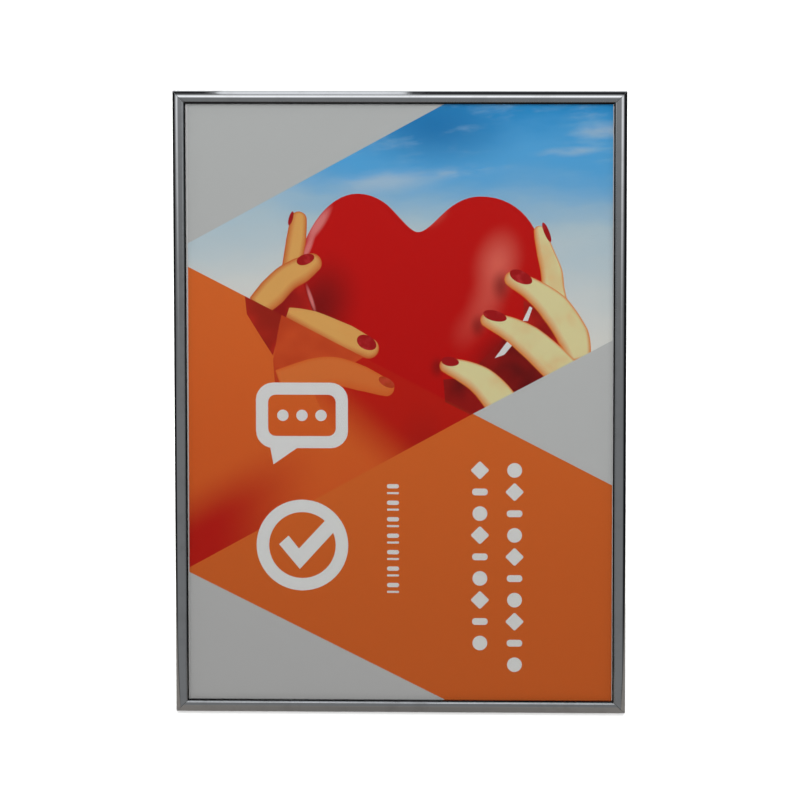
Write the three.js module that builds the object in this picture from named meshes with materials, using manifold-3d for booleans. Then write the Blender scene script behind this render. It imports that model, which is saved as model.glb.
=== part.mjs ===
// A sandwich board: two snap-open poster leaves, hinged near the top and held apart by slotted stays.
// Millimetres, +Z up, origin on the ground under the middle of the open board. The front leaf faces -Y.
import * as THREE from "three";
import { mergeVertices } from "three/addons/utils/BufferGeometryUtils.js";
import Module from "manifold-3d";

// Driving dimensions.
const POSTER_WIDTH = 500;
const POSTER_HEIGHT = 700;
const POSTER_THICKNESS = 0.4;
const PANEL_THICKNESS = 3;
const SHEET_THICKNESS = 0.6;
const FACE_WIDTH = 15; // the frame's face, from its outer edge to the opening
const LIP_OVERLAP = 5; // how far the frame's lip covers the poster's edge
const LEAF_DEPTH = 12;
const FRONT_LEAN = THREE.MathUtils.degToRad(12);

// Clearances.
const GAP = 0.3; // between pieces that touch
const MITRE_GAP = 0.4; // between two snap covers at a corner
const RUNNING = 0.3; // round a pin or a pivot bead

// Frame section, measured inward from the outer edge and forward from the back plane.
const BASE_WALL = 1.2;
const COVER_WALL = 1.2;
const FLANGE_REACH = 17; // the base's back flange, which carries the panel
const CHANNEL_WALL_HEIGHT = 8;
const BEAD_RADIUS = 1.1;
const BEAD_INSET = 1.6;
const BEAD_DEPTH = 3;
const TROUGH_WALL = 1;
const TROUGH_TIP = THREE.MathUtils.degToRad(35); // where the trough's arc ends, round the bead's centre
const TROUGH_HEEL = THREE.MathUtils.degToRad(-100);
const NECK_ANGLE = THREE.MathUtils.degToRad(155); // where the cover's wall meets the bead
const SHOULDER_REACH = 8; // the rounded shoulder, from the outer edge to the ridge
const SHOULDER_DEPTH = 6.5;
const FACE_DROP = 0.25; // how far the face falls between its ridge and its inner edge
const FACE_SAG = 0.25; // the share of that fall in the first half of the face
const FACE_END = 3.7; // from the face's inner edge to the opening
const GROOVE_DEPTH = 2.4; // below the ridge
const GROOVE_SIDE = 0.4; // how far the groove's outer side runs in as it falls
const GROOVE_FLOOR = 0.5;
const LIP_RADIUS = 0.5;
const LIP_DROP = 1.1; // from the ridge down to the centre of the lip's round
const LIP_FLANK = THREE.MathUtils.degToRad(135); // where the lip's arc meets its sloping flank
const LIP_WALL = 1.2;

// Leaf springs, corner keys and feet.
const SPRING_LENGTH = 26;
const SPRING_STRIP = 0.6;
const SPRING_BEND = 1.2; // the corners of the strip's bends
const SPRING_BELOW = 1.8; // from the inside of the cover's face down to the strip's crest
const KEY_LEG = 45;
const KEY_THICKNESS = 2.5;
const FOOT_WIDTH = 34;
const FOOT_THICKNESS = 5;
const FOOT_HEIGHT = 14;
const FOOT_CHAMFER = 3;
const FOOT_INSET = 48; // from the leaf's side to the middle of the foot
const GROUND_CLEARANCE = 1;

// Top hinges.
const AXIS_BEHIND = 6; // from each leaf's back plane to the hinge axis
const FRONT_ABOVE_AXIS = 6; // the front leaf's top edge
const REAR_ABOVE_AXIS = -2; // the rear leaf's top edge, tucked behind the front leaf's
const HINGE_INSET = 90; // from the leaf's side to the middle of the hinge
const HINGE_WIDTH = 48;
const PLATE_THICKNESS = 1.6;
const PLATE_HEIGHT = 18;
const KNUCKLE_RADIUS = 3.2;
const PIN_RADIUS = 1.5;
const KNUCKLE_GAP = 0.5;
const PIN_HEAD_STEP = 1; // the pin's head over its shank
const PIN_HEAD_LENGTH = 1.5;
const RIVET_HEAD_RADIUS = 2.6;
const RIVET_HEAD_TOP = 1.8;
const RIVET_HEAD_HEIGHT = 0.9;
const HINGE_RIVET_INSET = 8; // from the hinge's end
const HINGE_RIVET_BELOW = 5; // from the plate's top edge

// Slotted stays.
const STAY_PIVOT_BELOW = 75; // from the hinge axis down the front leaf
const STAY_STUD_BELOW = 345; // from the hinge axis down the rear leaf
const STAY_INSET = 25; // from the leaf's side to the stay's outer face
const STAY_THICKNESS = 2;
const STAY_WIDTH = 11;
const STUD_RADIUS = 2;
const SLOT_SIDE_GAP = 1;
const SLOT_END_GAP = 0.4;
const SLOT_SPARE = 3; // past the stud when the board is folded flat
const STAY_END = 8; // material past each end of the slot and past the pivot
const EAR_THICKNESS = 1.5;
const EAR_WIDTH = 14;
const EAR_REACH = 5; // past the pivot
const EAR_TAPER = 4;
const BRACKET_INSET = 4; // from the leaf's side
const BRACKET_RIVET_INSET = 6; // from the bracket's outer edge
const FASTENER_HEAD_RADIUS = 3.6;
const FASTENER_HEAD_HEIGHT = 1.4;

// Sizes that follow from those above.
const POSTER_INSET = FACE_WIDTH - LIP_OVERLAP;
const LEAF_WIDTH = POSTER_WIDTH + 2 * POSTER_INSET;
const LEAF_HEIGHT = POSTER_HEIGHT + 2 * POSTER_INSET;
const PANEL_BACK = BASE_WALL + GAP;
const POSTER_BACK = PANEL_BACK + PANEL_THICKNESS + GAP;
const SHEET_BACK = POSTER_BACK + POSTER_THICKNESS + GAP;
const LIP_BACK = SHEET_BACK + SHEET_THICKNESS + GAP;
const CHANNEL_WALL_INNER = POSTER_INSET - GAP;
const CHANNEL_WALL_OUTER = CHANNEL_WALL_INNER - BASE_WALL;
const TROUGH_INNER = BEAD_RADIUS + RUNNING;
const TROUGH_OUTER = TROUGH_INNER + TROUGH_WALL;
const BASE_MITRE_GAP = GAP;

const FINE = 10; // segments of a rounded stretch of the section
const ROUND = 20; // sides of a pin or a head
const OVER = 1; // how far a cutting tool runs past what it cuts

const metal = (color, roughness) =>
  new THREE.MeshStandardMaterial({ color, roughness, metalness: 1 });
const plain = (color, roughness) =>
  new THREE.MeshStandardMaterial({ color, roughness, metalness: 0 });

const CHROME = () => metal(0xc9ccce, 0.08);
const ALUMINIUM = () => metal(0xb4b6b8, 0.4);
const STEEL = () => metal(0x9fa2a5, 0.35);
const SPRING_STEEL = () => metal(0x8b8d90, 0.3);
const BOARD = () => plain(0xd9dadb, 0.6);
const PAPER = () => plain(0xd77a35, 0.7);
const RUBBER = () => plain(0x242424, 0.85);
const CLEAR = () =>
  new THREE.MeshStandardMaterial({ color: 0xffffff, roughness: 0.1, transparent: true, opacity: 0.2 });

const wasm = await Module();
wasm.setup();

function solidOf(geometry) {
  const bare = geometry.clone();
  bare.deleteAttribute("normal");
  bare.deleteAttribute("uv");
  const merged = mergeVertices(bare, 1e-4);
  return new wasm.Manifold(
    new wasm.Mesh({
      numProp: 3,
      vertProperties: new Float32Array(merged.attributes.position.array),
      triVerts: new Uint32Array(merged.index.array),
    }),
  );
}

function geometryOf(solid) {
  const mesh = solid.getMesh();
  const geometry = new THREE.BufferGeometry();
  const points = new Float32Array(mesh.numVert * 3);
  for (let i = 0; i < mesh.numVert; i += 1) {
    for (let k = 0; k < 3; k += 1) {
      points[3 * i + k] = mesh.vertProperties[mesh.numProp * i + k];
    }
  }
  geometry.setAttribute("position", new THREE.BufferAttribute(points, 3));
  geometry.setIndex(new THREE.BufferAttribute(new Uint32Array(mesh.triVerts), 1));
  geometry.computeVertexNormals();
  return geometry;
}

function joined(first, ...others) {
  return geometryOf(others.reduce((sum, other) => sum.add(solidOf(other)), solidOf(first)));
}

function cut(first, ...others) {
  return geometryOf(others.reduce((rest, other) => rest.subtract(solidOf(other)), solidOf(first)));
}

function piece(name, geometry, material) {
  const mesh = new THREE.Mesh(geometry, material);
  mesh.name = name;
  return mesh;
}

function box(x0, x1, y0, y1, z0, z1) {
  const geometry = new THREE.BoxGeometry(x1 - x0, y1 - y0, z1 - z0);
  return geometry.translate((x0 + x1) / 2, (y0 + y1) / 2, (z0 + z1) / 2);
}

// A cylinder along X from x0 to x1, centred on (y, z).
function rod(x0, x1, y, z, radius) {
  const geometry = new THREE.CylinderGeometry(radius, radius, x1 - x0, ROUND);
  return geometry.rotateZ(Math.PI / 2).translate((x0 + x1) / 2, y, z);
}

// A flat shape in the YZ plane, extruded along X from x0 to x1.
function slab(shape, x0, x1) {
  const options = { depth: x1 - x0, bevelEnabled: false, curveSegments: FINE };
  const turn = new THREE.Matrix4().set(0, 0, 1, x0, 1, 0, 0, 0, 0, 1, 0, 0, 0, 0, 0, 1);
  return new THREE.ExtrudeGeometry(shape, options).applyMatrix4(turn);
}

// The same from an outline's points.
function plate(points, x0, x1) {
  return slab(new THREE.Shape(points.map(([y, z]) => new THREE.Vector2(y, z))), x0, x1);
}

// A rivet's head that stands on a face of the YZ-facing plate at (x, y, z), narrowing towards +Y.
function rivetHead(x, y, z) {
  const length = RIVET_HEAD_HEIGHT + GAP;
  const head = new THREE.CylinderGeometry(RIVET_HEAD_TOP, RIVET_HEAD_RADIUS, length, ROUND);
  return head.translate(x, y + RIVET_HEAD_HEIGHT - length / 2, z);
}

// Two distances from the middle, on the right for hand +1 and on the left for hand -1, smaller x first.
function sideways(hand, near, far) {
  return hand > 0 ? [near, far] : [-far, -near];
}

// A frame section run along a rail of the leaf. The section's x is inward from the outer edge and its y is
// forward from the back plane. In the rail's own frame, X runs along the rail, -Y forward and Z inward.
function rail(section, length, setback) {
  const geometry = new THREE.ExtrudeGeometry(section, {
    depth: 1,
    bevelEnabled: false,
    curveSegments: FINE,
  });
  const position = geometry.attributes.position;
  for (let i = 0; i < position.count; i += 1) {
    const inward = position.getX(i);
    const forward = position.getY(i);
    const end = setback(inward);
    const along = position.getZ(i) > 0.5 ? length - end : end;
    position.setXYZ(i, along, -forward, inward);
  }
  geometry.computeVertexNormals();
  return geometry;
}

const mitred = (gap) => (inward) => inward + gap / Math.SQRT2;
const square = (distance) => () => distance;

function baseSection() {
  const floorMeet = Math.asin((BASE_WALL - BEAD_DEPTH) / TROUGH_OUTER);
  const heelInset = BEAD_INSET + TROUGH_INNER * Math.cos(TROUGH_HEEL) - GAP;
  const ledge = BEAD_DEPTH - TROUGH_OUTER + TROUGH_WALL - GAP / 2;
  const section = new THREE.Shape();
  section.moveTo(GAP, 0);
  section.lineTo(FLANGE_REACH, 0);
  section.lineTo(FLANGE_REACH, BASE_WALL);
  section.lineTo(CHANNEL_WALL_INNER, BASE_WALL);
  section.lineTo(CHANNEL_WALL_INNER, CHANNEL_WALL_HEIGHT);
  section.lineTo(CHANNEL_WALL_OUTER, CHANNEL_WALL_HEIGHT);
  section.lineTo(CHANNEL_WALL_OUTER, BASE_WALL);
  section.absarc(BEAD_INSET, BEAD_DEPTH, TROUGH_OUTER, floorMeet, TROUGH_TIP, false);
  section.absarc(BEAD_INSET, BEAD_DEPTH, TROUGH_INNER, TROUGH_TIP, TROUGH_HEEL, true);
  section.lineTo(heelInset, ledge);
  section.lineTo(GAP, ledge);
  section.closePath();
  return section;
}

function coverSection() {
  const neckInner = Math.acos((COVER_WALL - BEAD_INSET) / BEAD_RADIUS);
  const wallFoot = BEAD_DEPTH - BEAD_INSET * Math.tan(NECK_ANGLE);
  const shoulder = LEAF_DEPTH - SHOULDER_DEPTH;
  const lipCentre = FACE_WIDTH - LIP_RADIUS;
  const lipInner = FACE_WIDTH - LIP_WALL;
  const grooveFloor = LEAF_DEPTH - GROOVE_DEPTH;
  const faceEnd = FACE_WIDTH - FACE_END;
  const grooveStart = faceEnd + GROOVE_SIDE;
  const underside = grooveFloor - COVER_WALL;
  const section = new THREE.Shape();
  section.moveTo(0, wallFoot);
  section.absarc(BEAD_INSET, BEAD_DEPTH, BEAD_RADIUS, NECK_ANGLE, neckInner + 2 * Math.PI, false);
  section.lineTo(COVER_WALL, shoulder);
  const insideReach = SHOULDER_REACH - COVER_WALL;
  const insideDepth = SHOULDER_DEPTH - COVER_WALL;
  section.absellipse(SHOULDER_REACH, shoulder, insideReach, insideDepth, Math.PI, Math.PI / 2, true);
  section.lineTo(faceEnd - COVER_WALL, LEAF_DEPTH - FACE_DROP - COVER_WALL);
  section.lineTo(grooveStart - COVER_WALL, underside);
  section.lineTo(lipInner, underside);
  section.lineTo(lipInner, LIP_BACK);
  section.lineTo(FACE_WIDTH, LIP_BACK);
  section.absarc(lipCentre, LEAF_DEPTH - LIP_DROP, LIP_RADIUS, 0, LIP_FLANK, false);
  section.lineTo(grooveStart + GROOVE_FLOOR, grooveFloor);
  section.lineTo(grooveStart, grooveFloor);
  section.lineTo(faceEnd, LEAF_DEPTH - FACE_DROP);
  const faceMiddle = (SHOULDER_REACH + faceEnd) / 2;
  const sagged = LEAF_DEPTH - FACE_SAG * FACE_DROP;
  section.quadraticCurveTo(faceMiddle, sagged, SHOULDER_REACH, LEAF_DEPTH);
  section.absellipse(
    SHOULDER_REACH,
    shoulder,
    SHOULDER_REACH,
    SHOULDER_DEPTH,
    Math.PI / 2,
    Math.PI,
    false,
  );
  section.closePath();
  return section;
}

// The pivot bead and the wall's foot swing across the corner, so they stop short of the mitre.
function snapCover(length) {
  const whole = rail(coverSection(), length, mitred(MITRE_GAP));
  const cutDepth = BEAD_DEPTH + BEAD_INSET;
  const cutLength = 2 * BEAD_INSET + 2 * BEAD_RADIUS;
  const ends = [
    [-OVER, cutLength],
    [length - cutLength, length + OVER],
  ];
  return cut(whole, ...ends.map(([x0, x1]) => box(x0, x1, -cutDepth, OVER, -OVER, cutLength)));
}

// A strip bent along a smooth line in the rail's section, shaped by its thickness.
function stripSection(line, thickness) {
  const points = new THREE.CatmullRomCurve3(line.map(([x, y]) => new THREE.Vector3(x, y, 0))).getPoints(18);
  const side = (offset) =>
    points.map((point, i) => {
      const before = points[Math.max(i - 1, 0)];
      const after = points[Math.min(i + 1, points.length - 1)];
      const along = after.clone().sub(before).normalize();
      return new THREE.Vector2(point.x - offset * along.y, point.y + offset * along.x);
    });
  return new THREE.Shape([...side(-thickness / 2), ...side(thickness / 2).reverse()]);
}

function leafSpring(length) {
  const floor = BASE_WALL + GAP + SPRING_STRIP;
  const wall = CHANNEL_WALL_OUTER - GAP - SPRING_STRIP;
  const outer = BEAD_INSET + TROUGH_OUTER;
  const crest = LEAF_DEPTH - COVER_WALL - SPRING_BELOW;
  const line = [
    [outer + SPRING_BEND, floor],
    [wall - SPRING_BEND, floor],
    [wall, floor + SPRING_BEND],
    [wall, CHANNEL_WALL_HEIGHT - SPRING_BEND],
    [wall - 2 * SPRING_BEND, crest],
    [outer, CHANNEL_WALL_HEIGHT],
  ];
  return rail(stripSection(line, SPRING_STRIP), length, square((length - SPRING_LENGTH) / 2));
}

// An L in the two channels that meet at a corner, in the frame of the rail that starts there.
function cornerKey() {
  const outer = BEAD_INSET + TROUGH_OUTER + GAP;
  const inner = CHANNEL_WALL_OUTER - GAP;
  const back = BASE_WALL + GAP;
  const across = box(outer, KEY_LEG, -back - KEY_THICKNESS, -back, outer, inner);
  const up = box(outer, inner, -back - KEY_THICKNESS, -back, outer, KEY_LEG);
  return joined(across, up);
}

// The four corners of a leaf: a rail starts at each one and turns with it. X and Z from the leaf's middle.
const corners = [
  { rail: "bottom", corner: "bottom_left", x: -0.5, z: -0.5, turn: 0, length: LEAF_WIDTH },
  { rail: "right", corner: "bottom_right", x: 0.5, z: -0.5, turn: -Math.PI / 2, length: LEAF_HEIGHT },
  { rail: "top", corner: "top_right", x: 0.5, z: 0.5, turn: Math.PI, length: LEAF_WIDTH },
  { rail: "left", corner: "top_left", x: -0.5, z: 0.5, turn: Math.PI / 2, length: LEAF_HEIGHT },
];

// The world height of a leaf's hinge axis above the ground, and the lean that gives a chosen height.
const footReach = (top) => Math.hypot(LEAF_HEIGHT - top, AXIS_BEHIND);
const footSlant = (top) => Math.atan2(AXIS_BEHIND, LEAF_HEIGHT - top);
const AXIS_HEIGHT =
  GROUND_CLEARANCE + footReach(FRONT_ABOVE_AXIS) * Math.cos(FRONT_LEAN + footSlant(FRONT_ABOVE_AXIS));
const REAR_LEAN =
  Math.acos((AXIS_HEIGHT - GROUND_CLEARANCE) / footReach(REAR_ABOVE_AXIS)) - footSlant(REAR_ABOVE_AXIS);

// A rubber foot on the back of the bottom rail, cut level with the ground.
function foot(middle, top, lean) {
  const ground = (y) => (y * Math.sin(lean) - AXIS_HEIGHT) / Math.cos(lean);
  const front = -AXIS_BEHIND + GAP;
  const rear = front + FOOT_THICKNESS;
  const head = top - LEAF_HEIGHT + FOOT_HEIGHT;
  const outline = [
    [front, ground(front)],
    [rear, ground(rear)],
    [rear, head - FOOT_CHAMFER],
    [rear - FOOT_CHAMFER, head],
    [front, head],
  ];
  return plate(outline, middle - FOOT_WIDTH / 2, middle + FOOT_WIDTH / 2);
}

// A leaf in its own frame: its hinge axis is the X axis, it faces -Y, and its top edge is at Z = top.
function leaf(name, top, lean) {
  const group = new THREE.Group();
  const bottom = top - LEAF_HEIGHT;
  const middle = (top + bottom) / 2;
  for (const place of corners) {
    const side = new THREE.Group();
    side.position.set(place.x * LEAF_WIDTH, -AXIS_BEHIND, middle + place.z * LEAF_HEIGHT);
    side.rotation.y = place.turn;
    const base = rail(baseSection(), place.length, mitred(BASE_MITRE_GAP));
    side.add(piece(`${name}_base_rail_${place.rail}`, base, ALUMINIUM()));
    side.add(piece(`${name}_snap_cover_${place.rail}`, snapCover(place.length), CHROME()));
    side.add(piece(`${name}_leaf_spring_${place.rail}`, leafSpring(place.length), SPRING_STEEL()));
    side.add(piece(`${name}_corner_key_${place.corner}`, cornerKey(), STEEL()));
    group.add(side);
  }
  const sheets = [
    ["backing_panel", PANEL_BACK, PANEL_THICKNESS, BOARD()],
    ["poster", POSTER_BACK, POSTER_THICKNESS, PAPER()],
    ["clear_cover_sheet", SHEET_BACK, SHEET_THICKNESS, CLEAR()],
  ];
  for (const [what, back, thickness, material] of sheets) {
    const geometry = new THREE.BoxGeometry(POSTER_WIDTH, thickness, POSTER_HEIGHT);
    const mesh = piece(`${name}_${what}`, geometry, material);
    mesh.position.set(0, -AXIS_BEHIND - back - thickness / 2, middle);
    group.add(mesh);
  }
  const footPlaces = { left: -LEAF_WIDTH / 2 + FOOT_INSET, right: LEAF_WIDTH / 2 - FOOT_INSET };
  for (const [hand, x] of Object.entries(footPlaces)) {
    group.add(piece(`${name}_foot_${hand}`, foot(x, top, lean), RUBBER()));
  }
  return group;
}

// Half of a butt hinge on a leaf's back, with a knuckle in each of the given spans along X.
function hingePlate(x, spans) {
  const front = -AXIS_BEHIND + GAP;
  const rear = front + PLATE_THICKNESS;
  const head = -KNUCKLE_RADIUS - 2 * GAP;
  const half = HINGE_WIDTH / 2;
  let solid = solidOf(box(x - half, x + half, front, rear, head - PLATE_HEIGHT, head));
  for (const [from, to] of spans) {
    const web = [
      [front, head - OVER],
      [rear, head - OVER],
      [KNUCKLE_RADIUS * Math.SQRT1_2, -KNUCKLE_RADIUS * Math.SQRT1_2],
      [0, 0],
      [-KNUCKLE_RADIUS, 0],
      [front, head],
    ];
    solid = solid.add(solidOf(plate(web, x + from, x + to)));
    solid = solid.add(solidOf(rod(x + from, x + to, 0, 0, KNUCKLE_RADIUS)));
  }
  solid = solid.subtract(solidOf(rod(x - HINGE_WIDTH, x + HINGE_WIDTH, 0, 0, PIN_RADIUS + RUNNING)));
  for (const side of [-1, 1]) {
    const rivetX = x + side * (half - HINGE_RIVET_INSET);
    solid = solid.add(solidOf(rivetHead(rivetX, rear, head - HINGE_RIVET_BELOW)));
  }
  return geometryOf(solid);
}

function hingePin(x) {
  const half = HINGE_WIDTH / 2;
  const headStart = half + KNUCKLE_GAP;
  const headEnd = headStart + PIN_HEAD_LENGTH;
  return joined(
    rod(x - headEnd, x + headEnd, 0, 0, PIN_RADIUS),
    rod(x - headEnd, x - headStart, 0, 0, PIN_RADIUS + PIN_HEAD_STEP),
    rod(x + headStart, x + headEnd, 0, 0, PIN_RADIUS + PIN_HEAD_STEP),
  );
}

// An angle bracket on a side rail's back: its foot lies on the flange and its ear carries a hole or a stud.
// The ear's inner face is at x = ear, and hand is +1 on the right side of its leaf and -1 on the left.
function stayBracket(hand, below, holeRadius) {
  const front = -AXIS_BEHIND + GAP;
  const rear = front + EAR_THICKNESS;
  const inner = LEAF_WIDTH / 2 - STAY_INSET + GAP;
  const outer = LEAF_WIDTH / 2 - BRACKET_INSET;
  const low = -below - EAR_WIDTH / 2;
  const high = -below + EAR_WIDTH / 2;
  const flange = box(...sideways(hand, inner, outer), front, rear, low, high);
  const outline = [
    [front, low],
    [0, low],
    [EAR_REACH, low + EAR_TAPER],
    [EAR_REACH, high - EAR_TAPER],
    [0, high],
    [front, high],
  ];
  const ear = plate(outline, ...sideways(hand, inner, inner + EAR_THICKNESS));
  const holeEnds = sideways(hand, inner - OVER, inner + EAR_THICKNESS + OVER);
  const hole = rod(...holeEnds, 0, -below, holeRadius);
  const rivet = rivetHead(hand * (outer - BRACKET_RIVET_INSET), rear, -below);
  const angle = solidOf(flange).add(solidOf(ear)).subtract(solidOf(hole));
  return geometryOf(angle.add(solidOf(rivet)));
}

// A shouldered rivet through an ear and a stay, with a head outside the ear and one inside the stay.
function stayFastener(hand, below) {
  const outerStart = LEAF_WIDTH / 2 - STAY_INSET + 2 * GAP + EAR_THICKNESS;
  const outerEnd = outerStart + FASTENER_HEAD_HEIGHT;
  const innerEnd = LEAF_WIDTH / 2 - STAY_INSET - STAY_THICKNESS - GAP;
  const innerStart = innerEnd - FASTENER_HEAD_HEIGHT;
  return joined(
    rod(...sideways(hand, innerStart, outerEnd), 0, -below, STUD_RADIUS),
    rod(...sideways(hand, innerStart, innerEnd), 0, -below, FASTENER_HEAD_RADIUS),
    rod(...sideways(hand, outerStart, outerEnd), 0, -below, FASTENER_HEAD_RADIUS),
  );
}

// A round-ended outline from one point to another along Z, for the stay and its slot.
function capsule(radius, from, to) {
  const shape = new THREE.Shape();
  shape.absarc(0, to, radius, 0, Math.PI, false);
  shape.absarc(0, from, radius, Math.PI, 2 * Math.PI, false);
  shape.closePath();
  return shape;
}

// The stay hangs down -Z from its pivot at the origin. Its slot takes the rear leaf's stud.
function stay(hand, openReach, foldedReach) {
  const outer = LEAF_WIDTH / 2 - STAY_INSET;
  const slotRadius = STUD_RADIUS + SLOT_SIDE_GAP;
  const slotFar = openReach + SLOT_END_GAP - SLOT_SIDE_GAP;
  const slotNear = foldedReach - SLOT_SPARE;
  const bar = capsule(STAY_WIDTH / 2, -(slotFar + slotRadius + STAY_END - STAY_WIDTH / 2), 0);
  bar.holes.push(capsule(slotRadius, -slotFar, -slotNear));
  const [x0, x1] = sideways(hand, outer - STAY_THICKNESS, outer);
  const hole = rod(x0 - OVER, x1 + OVER, 0, 0, STUD_RADIUS + RUNNING);
  return cut(slab(bar, x0, x1), hole);
}

const board = new THREE.Group();
const frontLeaf = leaf("front", FRONT_ABOVE_AXIS, FRONT_LEAN);
frontLeaf.rotation.x = -FRONT_LEAN;
const rearLeaf = leaf("rear", REAR_ABOVE_AXIS, REAR_LEAN);
rearLeaf.rotation.x = -REAR_LEAN;
const rearSide = new THREE.Group();
rearSide.rotation.z = Math.PI;
rearSide.add(rearLeaf);

const third = (HINGE_WIDTH - 2 * KNUCKLE_GAP) / 3;
const outerKnuckles = [
  [-HINGE_WIDTH / 2, -HINGE_WIDTH / 2 + third],
  [HINGE_WIDTH / 2 - third, HINGE_WIDTH / 2],
];
const middleKnuckle = [[-third / 2, third / 2]];

// Where the stays' studs sit, in the front leaf's frame: the rear leaf opens by both leans together.
const opening = FRONT_LEAN + REAR_LEAN;
const studY = STAY_STUD_BELOW * Math.sin(opening);
const studZ = -STAY_STUD_BELOW * Math.cos(opening);
const openReach = Math.hypot(studY, studZ + STAY_PIVOT_BELOW);
const foldedReach = STAY_STUD_BELOW - STAY_PIVOT_BELOW;
const stayAngle = Math.atan2(studY, -(studZ + STAY_PIVOT_BELOW));

for (const [label, hand] of [
  ["left", -1],
  ["right", 1],
]) {
  const x = hand * (LEAF_WIDTH / 2 - HINGE_INSET);
  frontLeaf.add(piece(`front_hinge_plate_${label}`, hingePlate(x, outerKnuckles), STEEL()));
  rearLeaf.add(piece(`rear_hinge_plate_${label}`, hingePlate(-x, middleKnuckle), STEEL()));
  frontLeaf.add(piece(`hinge_pin_${label}`, hingePin(x), STEEL()));
  const pivotBracket = stayBracket(hand, STAY_PIVOT_BELOW, STUD_RADIUS + RUNNING);
  frontLeaf.add(piece(`front_stay_bracket_${label}`, pivotBracket, STEEL()));
  frontLeaf.add(piece(`stay_pivot_rivet_${label}`, stayFastener(hand, STAY_PIVOT_BELOW), STEEL()));
  const studBracket = stayBracket(-hand, STAY_STUD_BELOW, STUD_RADIUS + RUNNING);
  rearLeaf.add(piece(`rear_stay_bracket_${label}`, studBracket, STEEL()));
  rearLeaf.add(piece(`stay_slot_stud_${label}`, stayFastener(-hand, STAY_STUD_BELOW), STEEL()));
  const bar = piece(`slotted_stay_${label}`, stay(hand, openReach, foldedReach), STEEL());
  bar.position.set(0, 0, -STAY_PIVOT_BELOW);
  bar.rotation.x = stayAngle;
  frontLeaf.add(bar);
}

board.add(frontLeaf, rearSide);
board.position.z = AXIS_HEIGHT;
board.updateMatrixWorld(true);
const extent = new THREE.Box3().setFromObject(board, true);
board.position.y = -(extent.min.y + extent.max.y) / 2;
board.updateMatrixWorld(true);

export default board;
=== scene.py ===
import math

import bmesh
import bpy
from mathutils import Matrix, Vector
from mathutils.geometry import delaunay_2d_cdt


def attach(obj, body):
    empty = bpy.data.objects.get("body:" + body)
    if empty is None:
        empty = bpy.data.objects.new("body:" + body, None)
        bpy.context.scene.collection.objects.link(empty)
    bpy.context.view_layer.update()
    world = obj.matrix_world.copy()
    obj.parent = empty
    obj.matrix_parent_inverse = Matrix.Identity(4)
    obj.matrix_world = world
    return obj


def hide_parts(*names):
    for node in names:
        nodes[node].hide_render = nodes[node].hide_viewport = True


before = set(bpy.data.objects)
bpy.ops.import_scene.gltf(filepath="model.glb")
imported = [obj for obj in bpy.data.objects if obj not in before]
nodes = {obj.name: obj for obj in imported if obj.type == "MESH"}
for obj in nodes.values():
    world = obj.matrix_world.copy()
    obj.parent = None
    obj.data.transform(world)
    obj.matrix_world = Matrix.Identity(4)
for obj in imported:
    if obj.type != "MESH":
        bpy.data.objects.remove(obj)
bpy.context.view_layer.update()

scene = bpy.context.scene
scene.view_settings.view_transform = "Standard"
scene.view_settings.look = "None"

MM = 0.001
LEAVES = ("front", "rear")
SIDES = ("bottom", "right", "top", "left")


# ---------------------------------------------------------------- where the leaves are


def leaf_plane(leaf):
    """The poster's lower left corner on a leaf, and the directions right, up and out of its printed face."""
    points = [v.co.copy() for v in nodes[f"{leaf}_poster"].data.vertices]
    facing = -1 if leaf == "front" else 1
    right = Vector((-facing, 0, 0))
    low = min(p.z for p in points)
    high = max(p.z for p in points)
    lower = [p for p in points if p.z < (low + high) / 2]
    upper = [p for p in points if p.z > (low + high) / 2]
    outer = max(lower, key=lambda p: (round(facing * p.y, 5), -p.dot(right)))
    lower_face = [p for p in lower if abs(p.y - outer.y) < 0.1 * MM]
    corner = min(lower_face, key=lambda p: p.dot(right))
    top_face = [p for p in upper if abs(p.y - max(upper, key=lambda q: facing * q.y).y) < 0.1 * MM]
    top = min(top_face, key=lambda p: p.dot(right))
    up = (top - corner).normalized()
    return corner, right, up, right.cross(up)


PLANES = {leaf: leaf_plane(leaf) for leaf in LEAVES}
POSTER_WIDTH, POSTER_HEIGHT = 500, 700  # millimetres, as in the CAD


# ---------------------------------------------------------------- node trees


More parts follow.
